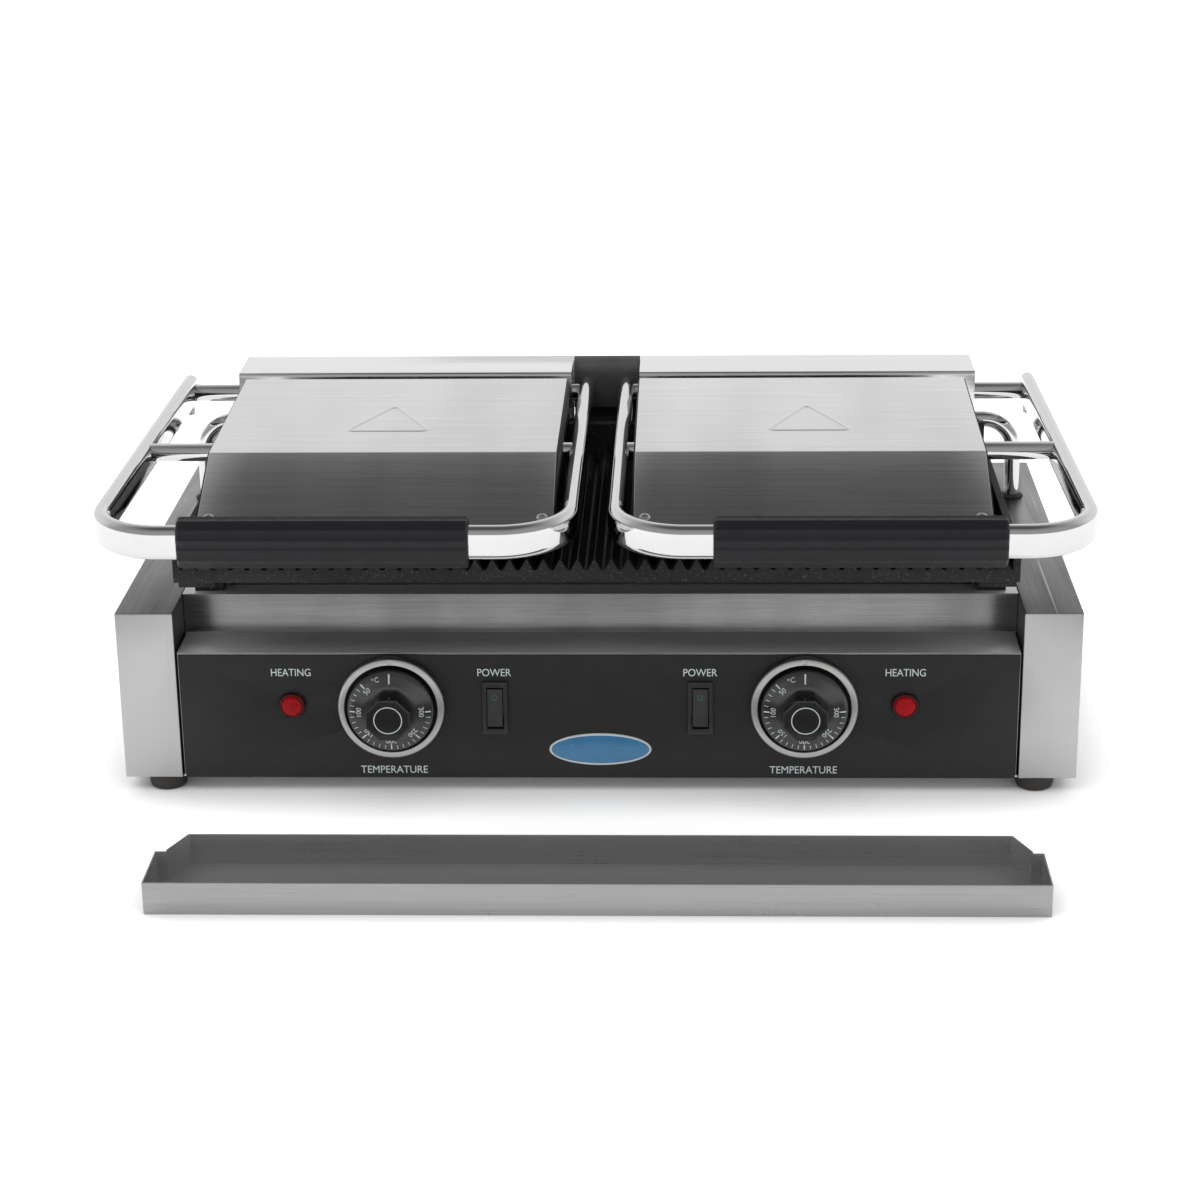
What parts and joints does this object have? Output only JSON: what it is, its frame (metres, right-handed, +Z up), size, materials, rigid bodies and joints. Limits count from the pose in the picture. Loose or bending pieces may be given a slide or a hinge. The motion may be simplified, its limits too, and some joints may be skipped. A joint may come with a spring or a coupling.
{
  "type": "panini press",
  "caption": "Countertop double contact grill with ribbed cast plates, hinged lids on U-shaped chrome handles, a front control panel and a loose drip tray.",
  "frame": {"origin": "on the table, at the centre of the whole set's footprint, which runs from the drip tray's front edge to the cable gland at the back", "axes": "+X to the operator's right along the width, +Y towards the back, +Z up; Z = 0 is the table"},
  "size_m": [0.5724, 0.4806, 0.21],
  "materials": {
    "brushed_steel": "brushed stainless steel sheet",
    "satin_steel": "satin turned metal ring",
    "zinc_steel": "zinc-plated steel",
    "heater_sheath": "heat-darkened steel sheath",
    "panel_black": "fine-textured black paint",
    "rubber": "matte moulded rubber",
    "cast_iron": "seasoned dark cast iron",
    "brass": "turned bearing brass",
    "chrome": "polished chrome plate",
    "grip_plastic": "fluted heat-resistant plastic with a slight sheen",
    "knob_plastic": "glossy black thermoset",
    "switch_plastic": "semi-gloss black plastic",
    "lamp_red": "translucent red lens",
    "terminal_ceramic": "unglazed ceramic"
  },
  "bodies": {
    "base": {"base_shell": "brushed_steel", "left_side_housing": "brushed_steel", "right_side_housing": "brushed_steel", "bottom_cover": "zinc_steel", "rear_panel": "brushed_steel", "control_panel": "panel_black", "feet": "rubber", "base_screws": "zinc_steel", "lower_plate": "cast_iron", "lower_heaters": "heater_sheath", "heater_pan": "brushed_steel", "hinge_brackets": "zinc_steel", "hinge_bushes": "brass", "left_hinge_cover": "brushed_steel", "right_hinge_cover": "brushed_steel", "centre_cover": "panel_black", "left_spring": "zinc_steel", "right_spring": "zinc_steel", "left_conduit": "chrome", "right_conduit": "chrome", "conduit_grommets": "rubber", "left_thermostat": "zinc_steel", "right_thermostat": "zinc_steel", "left_bezel": "satin_steel", "right_bezel": "satin_steel", "lamp_bezels": "switch_plastic", "lamp_lenses": "lamp_red", "left_switch_frame": "switch_plastic", "right_switch_frame": "switch_plastic", "terminal_block": "terminal_ceramic", "cable_gland": "switch_plastic"},
    "left_handle": {"left_handle_tube": "chrome", "left_grip": "grip_plastic", "left_axle": "chrome", "left_lid_rod": "chrome", "left_set_bolts": "zinc_steel"},
    "left_lid": {"left_lid_cover": "brushed_steel", "left_upper_plate": "cast_iron", "left_upper_heater": "heater_sheath", "left_lid_screws": "zinc_steel", "left_rod_bushes": "brass"},
    "left_dial": {"left_knob": "knob_plastic", "left_knob_shaft": "zinc_steel"},
    "left_switch": {"left_rocker": "switch_plastic"},
    "right_handle": {"right_handle_tube": "chrome", "right_grip": "grip_plastic", "right_axle": "chrome", "right_lid_rod": "chrome", "right_set_bolts": "zinc_steel"},
    "right_lid": {"right_lid_cover": "brushed_steel", "right_upper_plate": "cast_iron", "right_upper_heater": "heater_sheath", "right_lid_screws": "zinc_steel", "right_rod_bushes": "brass"},
    "right_dial": {"right_knob": "knob_plastic", "right_knob_shaft": "zinc_steel"},
    "right_switch": {"right_rocker": "switch_plastic"},
    "tray": {"drip_tray": "brushed_steel"}
  },
  "joints": [
    {"name": "left_arm_lift", "type": "hinge", "parent": "base", "child": "left_handle", "pos_m": [-0.144, 0.15825, 0.184], "axis": [-1, 0, 0], "range_deg": [0, 65]},
    {"name": "left_plate_tilt", "type": "hinge", "parent": "left_handle", "child": "left_lid", "pos_m": [-0.125, 0.01825, 0.1855], "axis": [1, 0, 0], "range_deg": [-1.8, 1.8]},
    {"name": "left_knob_turn", "type": "hinge", "parent": "base", "child": "left_dial", "pos_m": [-0.1225, -0.07375, 0.056], "axis": [0, 1, 0], "range_deg": [0, 265]},
    {"name": "left_switch_rock", "type": "hinge", "parent": "base", "child": "left_switch", "pos_m": [-0.061, -0.07075, 0.0545], "axis": [1, 0, 0], "range_deg": [0, 16]},
    {"name": "right_arm_lift", "type": "hinge", "parent": "base", "child": "right_handle", "pos_m": [0.144, 0.15825, 0.184], "axis": [-1, 0, 0], "range_deg": [0, 65]},
    {"name": "right_plate_tilt", "type": "hinge", "parent": "right_handle", "child": "right_lid", "pos_m": [0.125, 0.01825, 0.1855], "axis": [1, 0, 0], "range_deg": [-1.8, 1.8]},
    {"name": "right_knob_turn", "type": "hinge", "parent": "base", "child": "right_dial", "pos_m": [0.1225, -0.07375, 0.056], "axis": [0, 1, 0], "range_deg": [0, 265]},
    {"name": "right_switch_rock", "type": "hinge", "parent": "base", "child": "right_switch", "pos_m": [0.061, -0.07075, 0.0545], "axis": [1, 0, 0], "range_deg": [0, 16]},
    {"name": "tray_lift", "type": "slide", "parent": "base", "child": "tray", "axis": [0, 0, 1], "range_m": [0, 0.1]}
  ]
}
